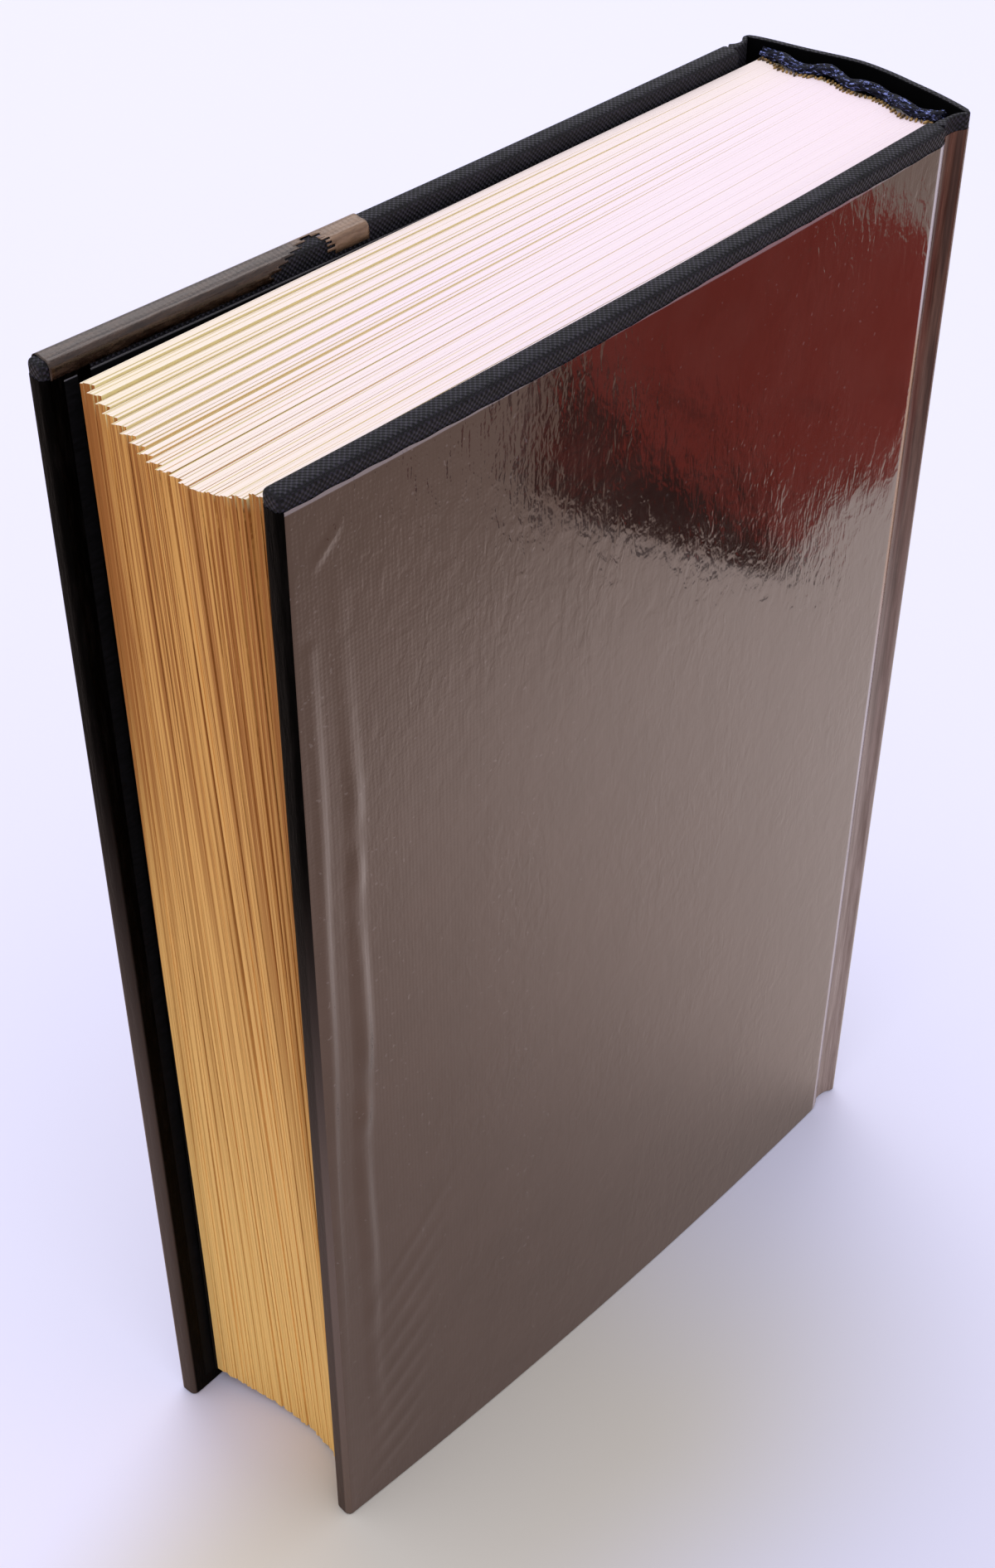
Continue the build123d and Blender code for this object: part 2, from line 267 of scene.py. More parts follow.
class Finish:
    """One material: a Principled shader, and the nodes that vary it."""

    def __init__(self, name, **fixed):
        self.material = bpy.data.materials.new(name)
        self.material.use_nodes = True
        self.tree = self.material.node_tree
        self.shader = self.tree.nodes["Principled BSDF"]
        for key, value in fixed.items():
            label = key.replace("_", " ").title().replace("Ior", "IOR")
            self.shader.inputs[label].default_value = value

    def node(self, kind, values=None, settings=None, out=0):
        made = self.tree.nodes.new(kind)
        for key, value in (settings or {}).items():
            setattr(made, key, value)
        for key, value in (values or {}).items():
            if isinstance(value, Wire):
                self.tree.links.new(value.socket, made.inputs[key])
            else:
                made.inputs[key].default_value = value
        return Wire(self, made.outputs[out])

    def place(self):
        """The piece's own coordinates, in mm."""
        coords = self.node("ShaderNodeTexCoord", out="Object")
        return self.node("ShaderNodeVectorMath", {0: coords, "Scale": 1 / MM}, {"operation": "SCALE"})

    def axes(self, vector):
        parts = self.node("ShaderNodeSeparateXYZ", {0: vector})
        return parts, Wire(self, parts.socket.node.outputs[1]), Wire(self, parts.socket.node.outputs[2])

    def vector(self, x, y, z):
        return self.node("ShaderNodeCombineXYZ", {0: x, 1: y, 2: z})

    def noise(self, vector, scale, detail=2.0, rough=0.5, twist=0.0):
        values = {"Vector": vector, "Scale": scale, "Detail": detail}
        values.update({"Roughness": rough, "Distortion": twist})
        return self.node("ShaderNodeTexNoise", values)

    def blend(self, share, first, second):
        """A colour, from first at 0 to second at 1."""
        values = {0: share}
        for key, value in ((6, first), (7, second)):
            values[key] = value if isinstance(value, Wire) else (*value, 1.0)
        return self.node("ShaderNodeMix", values, {"data_type": "RGBA"}, out=2)

    def relief(self, height, depth):
        """A normal from a height that runs from 0 to 1, depth in mm."""
        return self.node("ShaderNodeBump", {"Height": height, "Strength": 1.0, "Distance": depth * MM})

    def feed(self, **inputs):
        for key, wire in inputs.items():
            self.tree.links.new(wire.socket, self.shader.inputs[key.replace("_", " ").title()])

    def on(self, piece, slot):
        piece.data.materials.clear()
        piece.data.materials.append(self.material)


paper = Finish("cream_paper", roughness=0.85)
where = paper.place()
px, py, pz = paper.axes(where)
across = py * cos(block_turn) + px * sin(block_turn)
across = across - (block_y + origin_y) * cos(block_turn) - (block_x + origin_x) * sin(block_turn)
section_place = across / section_thick
normal = paper.node("ShaderNodeTexCoord", out="Normal")
nx, ny, nz = paper.axes(normal)
head = nz.rise(0.45, 0.75)
from_fore = (px - origin_x + 4.0) / leaf_width
joins = (section_place.part() - 0.5).size()
waver = paper.noise(paper.vector(px * 0.02, across * 0.6, pz * 0.01), 1.0)
# The brown lines on the head, between sections and between leaves, are partly toned paper and partly
# painted shade in the valleys between them.
line = (joins + (waver - 0.5) * 0.05).rise(0.405, 0.485)
leaf_lines = paper.noise(paper.vector(px * 0.012, across * 5.0, pz * 0.006), 1.0, 3.0, 0.6)
fine = leaf_lines.rise(0.56, 0.70)
fade = 1.0 - from_fore.rise(0.0, 0.75) * 0.93
uneven = paper.noise(paper.vector(0.0, across * 0.42, 0.0), 1.0, 2.0).rise(0.38, 0.6) * 0.6 + 0.4
streak = ((line * 0.95 * uneven).top(fine * 0.55)) * fade
head_colour = paper.blend(streak, (0.83, 0.70, 0.765), (0.55, 0.46, 0.13))
warm = (1.0 - from_fore.rise(0.0, 0.45)) * 0.55 + across.rise(24.0, 37.0) * 0.35
toned_head = paper.blend(streak, (0.86, 0.75, 0.57), (0.46, 0.34, 0.06))
head_colour = paper.blend(warm.least(1.0), head_colour, toned_head)
bands = paper.noise(paper.vector(0.0, across * 1.5, pz * 0.004), 1.0, 5.0, 0.75)
drop = (pz / book_height).rise(0.0, 0.95)
# Fore-edge colours: toned paper with painted shade, as the fore-edge faces away from the light.
shaded_edge_pale = paper.blend(drop, (0.90, 0.55, 0.165), (0.74, 0.37, 0.085))
shaded_edge_deep = paper.blend(drop, (0.54, 0.27, 0.045), (0.36, 0.120, 0.012))
# Painted shade: the fore-edge is darker next to each cover, and at the upper part of the far one.
far_cover_shade = (across / block_thick).rise(0.80, 1.0) * (pz - 120.0).rise(0.0, 90.0)
cover_shade = (1.0 - (across / block_thick).rise(0.0, 0.30)) * 0.65 + far_cover_shade * 1.1
banded = (bands.rise(0.40, 0.58) * 0.85 + line * 0.45) * (0.35 + drop * 0.75)
# Painted highlights: some leaves of the fore-edge are painted paler.
painted_highlit_leaves = (bands - 0.47).size().rise(0.03, 0.0) * 0.4
tone = banded + cover_shade * (0.5 + drop * 0.5) - painted_highlit_leaves
shaded_edge_colour = paper.blend(tone.top(0.0).least(1.0), shaded_edge_pale, shaded_edge_deep)
flank = (nx * sin(block_turn) + ny * cos(block_turn)).size().rise(0.55, 0.8)
shaded_edge_colour = paper.blend(flank * pz.rise(233.0, 236.0), shaded_edge_colour, (0.80, 0.68, 0.34))
# The up-facing head takes the pale paper colour; the other faces take the painted-shade fore-edge colour.
paper.feed(base_color=paper.blend(head, shaded_edge_colour, head_colour), normal=paper.relief(leaf_lines, 0.05))
paper.on(pages, "cream_paper")
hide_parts("pages")
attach(pages, "text_block")

# ---------------------------------------------------------------------------
# Flyleaves: the free halves of the endpapers, black laid paper tipped to the first and last
# sections. They follow the pages, which lean over towards the back cover.
# ---------------------------------------------------------------------------
endpaper = Finish("black_paper", roughness=0.72, specular_ior_level=0.1)
where = endpaper.place()
ex, ey, ez = endpaper.axes(where)
fibre = endpaper.noise(endpaper.vector(ex * 0.35, ey, ez * 1.4), 1.0, 4.0, 0.65)
black = endpaper.blend(fibre.rise(0.3, 0.75), (0.0012, 0.0012, 0.0015), (0.0055, 0.005, 0.006))
below_head = block_head - ez
cut_edge = (1.0 - below_head).rise(0.0, 0.2) * (below_head - 0.2).rise(0.0, 0.2)
endpaper.feed(
    base_color=endpaper.blend(cut_edge, black, (0.16, 0.15, 0.16)),
    roughness=0.68 + fibre * 0.2,
    normal=endpaper.relief(fibre, 0.03),
)
for name, near, far in (
    ("back_flyleaf", -0.16, -0.03),
    ("front_flyleaf", block_thick + 0.02, block_thick + 0.16),
):
    leaf = box_of_stuff(name, (0, 0, 0), (1, 1, 1))
    score(leaf, 0, [0.1, 0.25, 0.5, 0.75])
    score(leaf, 2, [n / 12 for n in range(1, 12)])
    for vertex in leaf.data.vertices:
        out, deep, rise = vertex.co
        across = near + (far - near) * deep - spread(near, out, rise)
        vertex.co = in_block(-leaf_width * (1 - out) - 0.3, across, block_foot + block_height * rise)
    face_out(leaf)
    endpaper.on(leaf, "black_paper")
    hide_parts(name)
    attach(leaf, "text_block")

# ---------------------------------------------------------------------------
# Mull and lining: open cotton gauze glued over the sewn back, and brown kraft paper glued over
# it. Both are seen only at the ends of the spine, or with the covers thrown back.
# ---------------------------------------------------------------------------
gauze = Finish("mull", roughness=0.9)
where = gauze.place()
gx, gy, gz = gauze.axes(where)
threads = (gy * 5.2).sine().top((gz * 5.2).sine())
gauze.feed(
    base_color=gauze.blend(threads.rise(-0.2, 0.6), (0.33, 0.27, 0.19), (0.72, 0.66, 0.55)),
    normal=gauze.relief(threads, 0.1),
)
gauze.on(frame["nodes"]["spine_mull"], "mull")

kraft = Finish("kraft_paper", roughness=0.8)
where = kraft.place()
kx, ky, kz = kraft.axes(where)
pulp = kraft.noise(kraft.vector(kx, ky * 0.8, kz * 0.25), 0.9, 4.0, 0.6)
kraft.feed(
    base_color=kraft.blend(pulp.rise(0.3, 0.7), (0.30, 0.20, 0.11), (0.45, 0.33, 0.20)),
    normal=kraft.relief(pulp, 0.05),
)
kraft.on(frame["nodes"]["spine_lining"], "kraft_paper")

# ---------------------------------------------------------------------------
# Headband and tailband: a cord of twisted navy silk glued along each end of the back, wavy
# where it was stretched, with a row of golden-brown stitches where it meets the pages.
# ---------------------------------------------------------------------------
silk = Finish("navy_silk", roughness=0.4, specular_ior_level=0.2)
sx, sy, sz = silk.axes(silk.place())
floss = silk.noise(silk.vector(sx * 2.6, sy * 0.9, sz * 2.6), 1.0, 3.0, 0.7)
# Painted highlights: bright blue-white flecks are painted into the silk's colour.
painted_glint = floss.rise(0.50, 0.66)
silk.feed(
    base_color=silk.blend(painted_glint * painted_glint, (0.0010, 0.0016, 0.010), (0.26, 0.31, 0.72)),
    roughness=0.35 + floss * 0.3,
    normal=silk.relief(floss, 0.45),
)
stitch = Finish("golden_stitch", roughness=0.6)
stitch_tone = stitch.noise(stitch.place(), 1.6, 2.0)
golden = stitch.blend(stitch_tone.rise(0.35, 0.65), (0.035, 0.018, 0.006), (0.42, 0.25, 0.075))
stitch.feed(base_color=golden)


def silk_band(name, up, wave, out, seed):
    """Four strands twisted round each other along the back, and a row of stitches inside them."""
    draw = Random(seed)
    phases = [draw.uniform(0, 6.28) for _ in range(3)]
    parts = []
    steps = 260
    strands = 4
    strand_radius = 0.5
    twist_radius = 0.52
    twist_rate = 0.42                     # radians in a mm
    stitch_count = 46

    def middle(across):
        sway = sin(across * 0.52 + phases[0]) * 0.55 + sin(across * 0.23 + phases[1]) * 0.45
        lift = sin(across * 0.75 + phases[2]) * 0.3
        along = back_round(min(max(across, 0), block_thick), up) + out + wave * sway
        return along, across, up + wave * lift

    for strand in range(strands):
        curve = bpy.data.curves.new(name, "CURVE")
        curve.dimensions = "3D"
        curve.bevel_depth = strand_radius * MM
        curve.bevel_resolution = 3
        curve.use_fill_caps = True
        line = curve.splines.new("POLY")
        line.points.add(steps)
        for step in range(steps + 1):
            across = -0.1 + (block_thick + 0.3) * step / steps
            turn = across * twist_rate + 2 * pi * strand / strands
            along, side, height = middle(across)
            spot = in_block(along + twist_radius * cos(turn), side, height + twist_radius * sin(turn))
            line.points[step].co = (*spot, 1)
        cord = bpy.data.objects.new(name, curve)
        bpy.context.scene.collection.objects.link(cord)
        let_go()
        cord.select_set(True)
        bpy.context.view_layer.objects.active = cord
        bpy.ops.object.convert(target="MESH")
        parts.append(bpy.context.object)
    band = join_up(name, parts)
    face_out(band, 60)
    silk.on(band, "navy_silk")
    let_go()
    bpy.ops.mesh.primitive_uv_sphere_add(segments=8, ring_count=5, radius=1)
    bead = bpy.context.object
    stitches = []
    edge = block_head + 0.1 if up > block_head else block_foot - 0.1
    for number in range(stitch_count):
        across = 0.4 + (block_thick - 0.8) * number / (stitch_count - 1)
        along, side, _ = middle(across)
        one = bead.copy()
        one.data = bead.data.copy()
        bpy.context.scene.collection.objects.link(one)
        long = draw.uniform(0.35, 0.95)
        lean = draw.uniform(-0.3, 0.3)
        for vertex in one.data.vertices:
            x, y, z = vertex.co
            vertex.co = in_block(along - 1.25 + x * long, side + y * 0.27 + x * lean, edge + z * 0.35)
        stitches.append(one)
    bpy.data.objects.remove(bead)
    row = join_up(name + "_stitches", stitches)
    face_out(row, 60)
    stitch.on(row, "navy_silk")
    for piece in (band, row):
        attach(piece, "text_block")
        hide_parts(name)


silk_band("headband", block_head + 1.05, 1.15, 0.9, 3)
silk_band("tailband", block_foot - 1.05, 0.5, -0.4, 5)

# ---------------------------------------------------------------------------
# Boards: grey millboard, one in each cover. Each cover has warped a little: its outer face
# bows between the fore-edge and the hinge edge, and it stands further out at the head.
# ---------------------------------------------------------------------------
half_thick = 23.45
cover_width = 146.1


class Cover:
    """The warped outer face of one cover, in mm, with its warp given at the foot and the head.

    Its fore-edge leans out and reaches forward, and its middle bows out.
    """

    def __init__(self, side, foot_lean, head_lean, foot_bow, head_bow, foot_reach, head_reach):
        self.side = side
        self.reaches = (foot_reach, head_reach)
        self.leans = (foot_lean, head_lean)
        self.bows = (foot_bow, head_bow)

    def at(self, along, depth, up):
        """The point a distance along from the fore-edge and a depth in, at a height."""
        rise = up / book_height
        lean = self.leans[0] + (self.leans[1] - self.leans[0]) * rise
        bow = self.bows[0] + (self.bows[1] - self.bows[0]) * rise
        share = min(along / cover_width, 1.0)
        slope = (4 * bow * (1 - 2 * share) - lean) / cover_width
        if along > cover_width:  # the face straightens where it meets the joint
            slope *= max(0.0, 1 - (along - cover_width) / 1.5)
        long = sqrt(1 + slope * slope)
        out = half_thick + lean * (1 - share) + 4 * bow * share * (1 - share)
        reach = self.reaches[0] + (self.reaches[1] - self.reaches[0]) * rise
        forward = along - reach * (1 - share) + depth * slope / long
        return placed(forward, self.side * (out - depth / long), up)


covers = {
    "front": Cover(1, 1.55, 5.0, 2.4, -0.75, 2.8, 0.7),
    "back": Cover(-1, -1.75, -0.3, 1.9, 0.9, 0.0, 0.0),
}


def lay(piece, surface):
    """Bend a piece that was made flat onto a surface: its x along, its y in, its z up."""
    for vertex in piece.data.vertices:
        vertex.co = surface(*vertex.co)


board = Finish("millboard", roughness=0.9)
where = board.place()
chips = board.noise(where, 1.4, 5.0, 0.7)
board.feed(
    base_color=board.blend(chips.rise(0.3, 0.7), (0.26, 0.235, 0.205), (0.42, 0.39, 0.34)),
    normal=board.relief(chips, 0.15),
)
board_inset, board_margin = 0.6, 0.5  # room for the folded cloth: at the fore-edge, head and tail
board_end, board_depth = 146.0, 3.4
for side, cover in covers.items():
    slab = box_of_stuff(
        side + "_board",
        (board_inset, board_inset, board_margin),
        (board_end, board_depth, book_height - board_margin),
    )
    press(slab, "BEVEL", width=0.3, segments=2, limit_method="ANGLE")
    score(slab, 0, range(6, 146, 7))
    score(slab, 2, range(20, 240, 20))
    lay(slab, cover.at)
    face_out(slab)
    board.on(slab, "millboard")
    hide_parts(side + "_board")
    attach(slab, side + "_cover")

# ---------------------------------------------------------------------------
# Cover cloth: dark navy plain-woven book cloth, glued over each board and folded in over its
# edges, which rounds them. It is bare along the head and covered by film below that.
# ---------------------------------------------------------------------------
cloth = Finish(
    "book_cloth",
    roughness=0.75,
    specular_ior_level=0.22,
    sheen_weight=0.015,
    sheen_roughness=0.4,
)
where = cloth.place()
cx, cy, cz = cloth.axes(where)
pitch = 2 * pi / 0.95
drift = (cloth.noise(where, 0.5, 2.0) - 0.5) * 1.4
facing = cloth.node("ShaderNodeTexCoord", out="Normal")
side_on, flat_on, end_on = cloth.axes(facing)
turned = side_on.size().rise(0.6, 0.8)
ended = end_on.size().rise(0.6, 0.8)
warp_thread = ((cx * (1.0 - turned) + cy * turned) * pitch + drift).sine()
weft_thread = ((cz * (1.0 - ended) + cy * ended) * pitch + drift).sine()
weave = warp_thread * weft_thread
slub = cloth.noise(cloth.vector(cx * 0.5, cy * 0.5, cz * 2.0), 0.8, 3.0, 0.6)
# Painted highlights: the raised thread tops are painted paler, standing in for light caught on the weave.
thread_top_highlight = (weave * 0.5 + slub - 0.1).rise(-0.1, 0.9)
thread_top_highlight = thread_top_highlight * thread_top_highlight
cloth.feed(
    base_color=cloth.blend(thread_top_highlight, (0.0008, 0.0007, 0.0015), (0.024, 0.020, 0.034)),
    roughness=0.62 - thread_top_highlight * 0.22,
    normal=cloth.relief(weave * 0.5 + 0.5 + slub * 0.4, 0.26),
)
cloth_inset = 0.1                     # room for the film
cloth_end, cloth_depth = 146.7, 3.9
for side, cover in covers.items():
    case = box_of_stuff(
        side + "_cloth", (cloth_inset, cloth_inset, 0), (cloth_end, cloth_depth, book_height)
    )
    press(case, "BEVEL", width=1.0, segments=4, limit_method="ANGLE")
    score(case, 0, range(5, 145, 5))
    score(case, 2, range(12, 240, 12))
    lay(case, cover.at)
    face_out(case)
    cloth.on(case, "book_cloth")
    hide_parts(side + "_cloth")
    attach(case, side + "_cover")

# ---------------------------------------------------------------------------
# Pastedowns: the glued halves of the endpapers, over the turned-in cloth on the inside of
# each cover, with a margin of cloth left round them.
# ---------------------------------------------------------------------------
paste_margin, paste_end = 3.5, 145.6
paste_outer, paste_inner = 3.8, 4.05
for side, cover in covers.items():
    sheet = box_of_stuff(
        side + "_pastedown",
        (paste_margin, paste_outer, paste_margin),
        (paste_end, paste_inner, book_height - paste_margin),
    )
    score(sheet, 0, range(5, 145, 5))
    score(sheet, 2, range(12, 240, 12))
    lay(sheet, cover.at)
    face_out(sheet)
    endpaper.on(sheet, "black_paper")
    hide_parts(side + "_pastedown")
    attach(sheet, side + "_cover")

# ---------------------------------------------------------------------------
# Cover films: clear glossy self-adhesive film, smoothed over the outer face and folded in round
# the fore-edge. It shows the weave beneath, and it has lifted in channels and small wrinkles.
# ---------------------------------------------------------------------------
film = Finish(
    "clear_film",
    ior=1.95,
    specular_tint=(1.0, 0.72, 0.58, 1.0),
    coat_weight=0.5,
    coat_roughness=0.06,
    coat_ior=1.5,
)
where = film.place()
fx, fy, fz = film.axes(where)
threads = (fx * 2 * pi / 0.74).sine() * 0.5 + 0.5
cross = (fz * 2 * pi / 0.80).sine() * 0.5 + 0.5
patch = film.noise(where, 0.09, 3.0, 0.6)
ripple = film.noise(film.vector(fx * 0.32, fy * 0.32, fz * 0.20), 1.0, 2.0, 0.5, 0.6)
peel = film.noise(film.vector(fx * 1.5, fy * 1.5, fz * 0.8), 1.0, 2.0, 0.5)
specks = film.noise(where, 1.3, 0.0).rise(0.79, 0.83)
streak = film.noise(film.vector(fx * 0.62, fy * 0.62, fz * 0.24), 1.0, 2.0, 0.5, 0.8)
rough_patch = film.noise(film.vector(fx, fy, fz * 0.6), 0.045, 2.0).rise(0.40, 0.62)
film_height = ripple * 0.085 + streak * (0.012 + rough_patch * 0.075) + peel * 0.012
near_fore = 1.0 - (fx + 70.0).rise(0.0, 45.0) * 0.85
film_height = film_height + (threads * cross * 0.008 + threads * 0.0055) * near_fore
film_tone = film.blend(patch.rise(0.3, 0.7), (0.007, 0.004, 0.003), (0.015, 0.009, 0.007))
film_edge = (fz - (book_height - 3.25) + (fx * 0.07 + 5.6).sine() * 0.1).rise(0.0, 0.25) * 0.6
film_tone = film.blend(film_edge, film_tone, (0.30, 0.27, 0.28))
film.feed(
    base_color=film.blend(specks * 0.5, film_tone, (0.12, 0.10, 0.09)),
    roughness=0.055 + patch * 0.06,
    normal=film.relief(film_height, 1.0),
)
film_foot, film_head = 0.3, book_height - 2.8

# Where it is folded round the fore-edge it hardly mirrors at all, and its lower, outer part is painted
# grey-brown: a painted reflection of the pale floor.
fold = Finish("folded_film", roughness=0.3, ior=1.15, specular_ior_level=0.15)
hx, hy, hz = fold.axes(fold.place())
rub = fold.noise(fold.vector(hx, hy, hz * 0.12), 0.9, 4.0, 0.65)
fold_x, fold_y, fold_z = fold.axes(fold.node("ShaderNodeTexCoord", out="Normal"))
outer_half = (fold_y * hy).rise(0.0, 6.0)
lower = 1.0 - (hz - 70.0).rise(0.0, 110.0)
# Painted reflection: the lower, outer part of the fold is painted grey-brown.
painted_floor_reflection = (fold_x * -1.0).rise(0.1, 0.5).top(outer_half) * lower * (outer_half * 0.5 + 0.5)
dull = fold.blend(rub.rise(0.45, 0.75), (0.0006, 0.0004, 0.0003), (0.004, 0.003, 0.0025))
fold.feed(
    base_color=fold.blend(painted_floor_reflection, dull, (0.15, 0.105, 0.085)),
    roughness=0.22 + rub * 0.3,
    normal=fold.relief(rub, 0.25),
)


def arc(x, y, radius, start, end, steps):
    """Points round an arc, angles in degrees."""
    turns = [radians(start + (end - start) * n / steps) for n in range(steps + 1)]
    return [(x + radius * cos(t), y + radius * sin(t)) for t in turns]


def sheet_of(name, xs, zs):
    """A flat sheet with its columns at xs and its rows at zs, in mm."""
    let_go()
    bpy.ops.mesh.primitive_grid_add(x_subdivisions=len(xs) - 1, y_subdivisions=len(zs) - 1, size=2)
    piece = bpy.context.object
    piece.name = piece.data.name = name
    for vertex in piece.data.vertices:
        column = round((vertex.co.x + 1) / 2 * (len(xs) - 1))
        row = round((vertex.co.y + 1) / 2 * (len(zs) - 1))
        vertex.co = (xs[column], 0, zs[row])
    return piece


def hump(value, middle, half):
    """1 at the middle, 0 past half a width away, rounded."""
    share = min(abs(value - middle) / half, 1.0)
    return (1 - share * share) ** 2


def lifted(along, up):
    """How far the back cover's film stands off the cloth, in mm."""
    lift = 0.0
    sway = sin(up * 0.11) * 0.35 + sin(up * 0.043 + 1) * 0.5
    # Two long air channels beside the fore-edge
    if 20 < up < 214:
        lift += 0.55 * hump(along, 3.8 - (211 - up) * 0.016 + sway * 0.5, 1.8) * hump(up, 130, 110)
    if 6 < up < 230:
        fullness = 0.75 + 0.25 * sin(up * 0.24 + sin(up * 0.11) * 2)
        lift += 0.90 * hump(along, 9.9 - (227 - up) * 0.007 + sway, 2.4) * fullness * hump(up, 118, 118)
    # A crease across the upper end of the channels, and a fan of wrinkles near the foot
    lift += 0.35 * hump((along - 5.5) - (up - 227) * 1.1, 0, 1.0) * hump(up, 229, 3.5)
    for number in range(9):
        foot = 6 + number * 6.2
        slant = (along - 4) * (0.75 + 0.06 * number)
        reach = hump(along, 13 + number * 0.7, 9 + number * 0.5)
        lift += 0.11 * hump(up - foot - slant * 0.8, 0, 2.4) * reach
    return lift


crest = [
    (144.8, 0.0), (145.2, 0.01), (145.5, 0.04), (145.8, 0.09),
    (146.1, 0.17), (146.4, 0.28), (146.7, 0.42), (147.0, 0.58),
]
wrap = (
    [(8.0, 4.06), (5.0, 4.02), (2.0, 3.98)]
    + arc(1.2, 2.75, 1.2, 90, 180, 5)
    + arc(1.2, 1.2, 1.2, 180, 270, 5)
    + [(x, 0.0) for x in np.arange(2.0, 30.0, 0.55)]
    + [(x, 0.0) for x in np.arange(30.0, 144.5, 2.1)]
    + crest
    + arc(hinge_x, -0.73, 2.2, 138, 124, 2)
)
fold_end = 13                         # where along wrap the fold ends, and where the crest starts
crest_start = len(wrap) - len(crest) - 2.5

# Along the hinge edge it has lifted a little, and shows as a pale line: partly the lifted film and partly a
# painted highlight along the crest, golden-brown at mid-height as a painted reflection.
ridge = Finish("lifted_film_highlight", roughness=0.18, ior=1.5)
ridge_x, ridge_y, ridge_z = ridge.axes(ridge.place())
faded = ridge.noise(ridge.vector(ridge_x * 0.9, ridge_y * 0.9, ridge_z * 0.03), 1.0, 3.0, 0.6)
golden = (ridge_z - 120.0).rise(0.0, 40.0) * (210.0 - ridge_z).rise(0.0, 12.0)
# Painted highlight and painted reflection colours for the crest.
crest_highlight = ridge.blend(golden, (0.44, 0.375, 0.40), (0.30, 0.14, 0.06))
painted_crest_highlight = ridge.blend(faded.rise(0.2, 0.5), (0.12, 0.08, 0.07), crest_highlight)
ridge.feed(base_color=painted_crest_highlight, roughness=0.12 + faded * 0.2)
for side, cover in covers.items():
    rows = [film_foot + (film_head - film_foot) * n / 230 for n in range(231)]
    skin = sheet_of(side + "_film", list(range(len(wrap))), rows)
    finish_numbers = []
    for face in skin.data.polygons:
        step = face.center.x
        finish_numbers.append(1 if step < fold_end else 2 if step > crest_start else 0)
    for vertex in skin.data.vertices:
        along, depth = wrap[round(vertex.co.x)]
        up = vertex.co.z
        if up > film_head - 1:
            up += 0.25 * sin(along * 0.07 + 1.0) + 0.08 * sin(along * 0.9)
        stand = 0.02
        if side == "back" and depth < 0.5 and 2 <= along < 60:
            stand += lifted(along, up)
        vertex.co = cover.at(along, depth - (stand if depth < 2 else -stand), up)
    face_out(skin, 180)
    film.on(skin, "clear_film")
    skin.data.materials.append(fold.material)
    skin.data.materials.append(ridge.material)
    for face in skin.data.polygons:
        face.material_index = finish_numbers[face.index]
    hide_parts(side + "_film")
    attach(skin, side + "_cover")

# ---------------------------------------------------------------------------
# Head flap: along the fore part of the front cover the film was also folded in over the head
# edge. Part of the fold has torn away, and its end is cut square. That end is painted yellow-brown,
# a painted reflection of the page edges it faces, and the rounded outer edge has a painted highlight.
# ---------------------------------------------------------------------------
flap = Finish(
    "film_flap",
    roughness=0.12,
    ior=1.5,
    specular_tint=(1.0, 0.85, 0.80, 1.0),
    coat_weight=0.1,
    coat_roughness=0.04,
    coat_ior=1.6,
)
where = flap.place()
lx, ly, lz = flap.axes(where)
scuff = flap.noise(flap.vector(lx * 0.25, ly * 1.6, lz * 1.2), 1.0, 4.0, 0.65)
weave_rib = (lx * 2 * pi / 0.85).sine() * 0.5 + 0.5
along_tone = (lx - origin_x).rise(45.0, 51.0)
brown = flap.blend(scuff.rise(0.35, 0.7), (0.010, 0.004, 0.002), (0.044, 0.024, 0.015))
# Painted reflection: the square end is painted yellow-brown, for the page edges it faces.
tan = flap.blend(scuff.rise(0.3, 0.75), (0.13, 0.075, 0.045), (0.25, 0.155, 0.10))
lift_x, lift_y, lift_z = flap.axes(flap.node("ShaderNodeTexCoord", out="Normal"))
# Painted highlight: a pale streak along the flap's rounded outer edge.
painted_edge_highlight = lift_y.rise(0.25, 0.6) * lift_z.rise(0.0, 0.2)
flap_tone = flap.blend(along_tone, brown, tan)
flap.feed(
    base_color=flap.blend(painted_edge_highlight * 0.8, flap_tone, (0.30, 0.27, 0.325)),
    roughness=0.12 + scuff * 0.2,
    normal=flap.relief(scuff * 0.5 + weave_rib * 0.10, 0.16),
)
head_wrap = (
    [(0.02, book_height - 4.0), (0.0, book_height - 2.0)]
    + [(1.05 - y, book_height - 1.05 + x) for y, x in arc(0, 0, 1.28, 0, 90, 6)]
    + [(1.6, book_height + 0.14), (2.0, book_height + 0.06), (2.9, book_height + 0.05)]
    + [(3.0 + x, book_height - 1.0 + y) for x, y in arc(0, 0, 1.06, 90, 0, 5)]
    + [(4.06, book_height - 1.5), (4.07, book_height - 2.0), (4.08, book_height - 2.6)]
)
columns = list(np.arange(1.4, 60.01, 0.5)) + [60.2]
leaf = sheet_of("front_head_flap", columns, list(range(len(head_wrap))))
tear_row = 8                          # the tear begins on top of the edge, and runs down the inside
doomed = []
for face in leaf.data.polygons:
    along, below = face.center.x, face.center.z - tear_row
    ragged = int(below) % 2
    low = 49.6 - below * 0.8 + (0.9 if ragged else -0.4)
    high = 51.6 + below * 0.1 + (0.7 if ragged else -0.5)
    if below > 0 and low < along < high:
        doomed.append(face.index)
let_go()
leaf.select_set(True)
bpy.context.view_layer.objects.active = leaf
bpy.context.tool_settings.mesh_select_mode = (False, False, True)
bpy.ops.object.mode_set(mode="EDIT")
bpy.ops.mesh.select_all(action="DESELECT")
bpy.ops.object.mode_set(mode="OBJECT")
for index in doomed:
    leaf.data.polygons[index].select = True
bpy.ops.object.mode_set(mode="EDIT")
bpy.ops.mesh.delete(type="FACE")
bpy.ops.object.mode_set(mode="OBJECT")
front = covers["front"]
